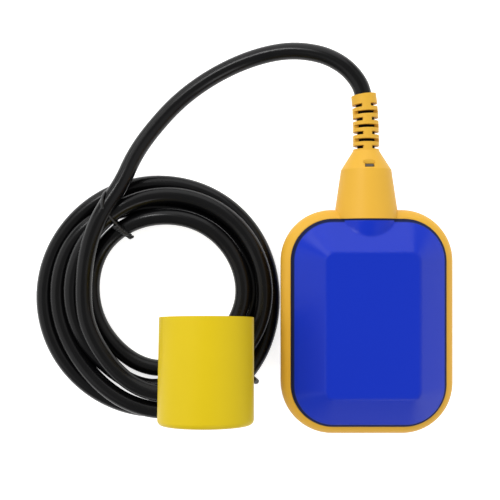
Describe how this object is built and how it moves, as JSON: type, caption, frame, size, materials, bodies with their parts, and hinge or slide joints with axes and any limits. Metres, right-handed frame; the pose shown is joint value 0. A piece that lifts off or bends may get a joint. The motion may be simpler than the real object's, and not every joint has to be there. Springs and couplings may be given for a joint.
{
  "type": "float level switch",
  "caption": "Tethered float switch: a flat sealed float with a slotted cable neck, a rolling-ball switch inside, a coiled cable and a loose counterweight.",
  "frame": {"origin": "middle of the rear cover's flat face, on which the float lies", "axes": "+Y from the float up through the neck and out along the cable, +X to the right seen from the front, +Z out of the front cover"},
  "size_m": [0.2022, 0.1862, 0.0628],
  "materials": {
    "blue_shell": "glossy moulded polypropylene",
    "yellow_frame": "satin moulded polypropylene",
    "yellow_weight": "satin moulded plastic, slightly waxy",
    "white_nylon": "natural nylon",
    "ballast": "rough cast ballast",
    "cable_rubber": "smooth black sheath with a slight sheen",
    "tie_wire": "black plastic-coated wire",
    "seal_rubber": "soft black rubber",
    "grey_nylon": "grey nylon",
    "chamber_plastic": "natural moulded plastic",
    "zinc_screw": "zinc-plated steel",
    "bearing_steel": "polished steel",
    "lever_steel": "rolled stainless strip",
    "switch_black": "black phenolic moulding",
    "switch_cream": "cream moulding",
    "button_red": "red acetal",
    "blade_copper": "beryllium copper strip with silver contacts",
    "tinned_brass": "brass stamping",
    "crimp_vinyl": "red vinyl sleeve",
    "core_brown": "brown insulation",
    "core_black": "black insulation",
    "core_blue": "blue insulation"
  },
  "bodies": {
    "float": {"front_cover": "blue_shell", "rear_cover": "blue_shell", "float_frame": "yellow_frame", "weight_shell": "yellow_weight", "weight_cap": "yellow_weight", "weight_stop_ring": "white_nylon", "cable_clamp": "white_nylon", "weight_core": "ballast", "cable_lead": "cable_rubber", "cable_coil": "cable_rubber", "cable_sheath": "cable_rubber", "coil_tie_upper": "tie_wire", "coil_tie_lower": "tie_wire", "cable_seal": "seal_rubber", "chamber_seal": "seal_rubber", "gland_sleeve": "grey_nylon", "gland_nut": "grey_nylon", "chamber_base": "chamber_plastic", "chamber_lid": "chamber_plastic", "clamp_screws": "zinc_screw", "chamber_screws": "zinc_screw", "lever_pin": "lever_steel", "switch_base": "switch_black", "switch_cover": "switch_cream", "terminal_common": "tinned_brass", "terminal_open": "tinned_brass", "terminal_closed": "tinned_brass", "crimp_sleeves": "crimp_vinyl", "core_common": "core_brown", "core_open": "core_black", "core_closed": "core_blue"},
    "ball": {"steel_ball": "bearing_steel"},
    "lever": {"switch_lever": "lever_steel"},
    "plunger": {"switch_plunger": "button_red"},
    "blade": {"contact_blade": "blade_copper"}
  },
  "joints": [
    {"name": "ball_roll", "type": "slide", "parent": "float", "child": "ball", "axis": [0, 1, 0], "range_m": [0, 0.00654]},
    {"name": "lever_pivot", "type": "hinge", "parent": "float", "child": "lever", "pos_m": [-0.011, -0.01146, 0.02075], "axis": [0, 0, 1], "range_deg": [0, 18]},
    {"name": "plunger_press", "type": "slide", "parent": "float", "child": "plunger", "axis": [0, 1, 0], "range_m": [0, 0.00124], "stiffness_N_per_m": 20},
    {"name": "blade_snap", "type": "hinge", "parent": "float", "child": "blade", "pos_m": [-0.0122, -0.00246, 0.02075], "axis": [0, 0, 1], "range_deg": [0, 4.04]}
  ],
  "couplings": [
    {"joint": "lever_pivot", "follows": "ball_roll", "rad_per_m": 47.983},
    {"joint": "plunger_press", "follows": "ball_roll", "ratio": 0.1888},
    {"joint": "blade_snap", "follows": "ball_roll", "rad_per_m": 10.78}
  ]
}
